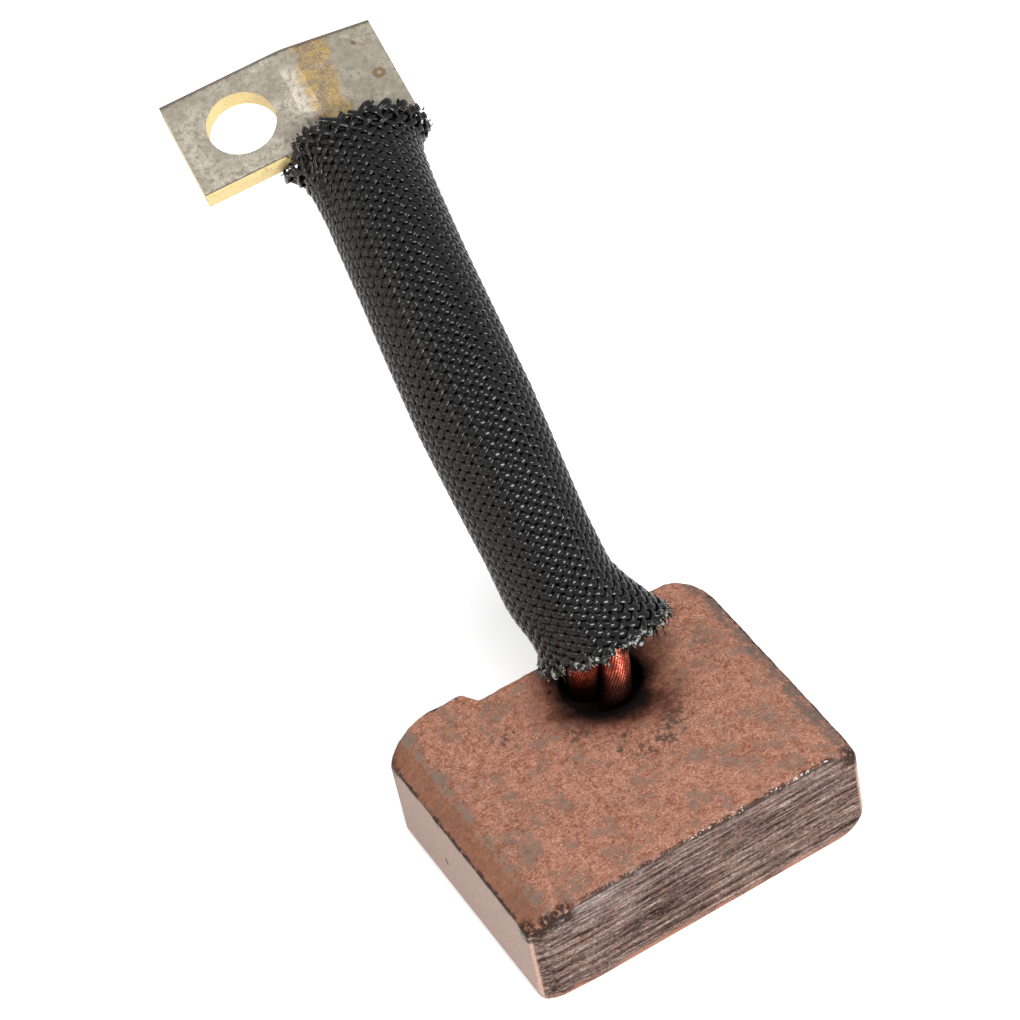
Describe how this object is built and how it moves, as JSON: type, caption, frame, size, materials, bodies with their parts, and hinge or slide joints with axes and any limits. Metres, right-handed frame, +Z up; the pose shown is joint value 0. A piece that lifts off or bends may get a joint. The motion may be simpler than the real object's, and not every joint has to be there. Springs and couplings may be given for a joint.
{
  "type": "carbon brush",
  "caption": "Copper-graphite motor brush block with a twisted copper shunt in a black braided sleeve, ending in a bent brass ring-hole terminal.",
  "frame": {"origin": "centre of the block's large lower face, on its plane", "axes": "+X along the block's length, left to right as seen from the running face; +Y from the running face to the spring seat; +Z up, through the face that the shunt leaves"},
  "size_m": [0.025, 0.0539, 0.0379],
  "materials": {
    "copper_graphite": "matt sintered copper-graphite, salmon brown, sawn dark grey-brown on the running face",
    "tamped_powder": "matt, near black tamped powder",
    "copper_wire": "bare fine copper wire, slightly tarnished",
    "braid": "glossy black varnished braid",
    "tinned_brass": "mottled warm grey tinned face over a yellow brass cut edge"
  },
  "bodies": {
    "root": {"brush_block": "copper_graphite", "tamped_filling": "tamped_powder", "shunt_strand_1": "copper_wire", "shunt_strand_2": "copper_wire", "shunt_strand_3": "copper_wire", "sleeve": "braid", "terminal": "tinned_brass"}
  },
  "joints": []
}
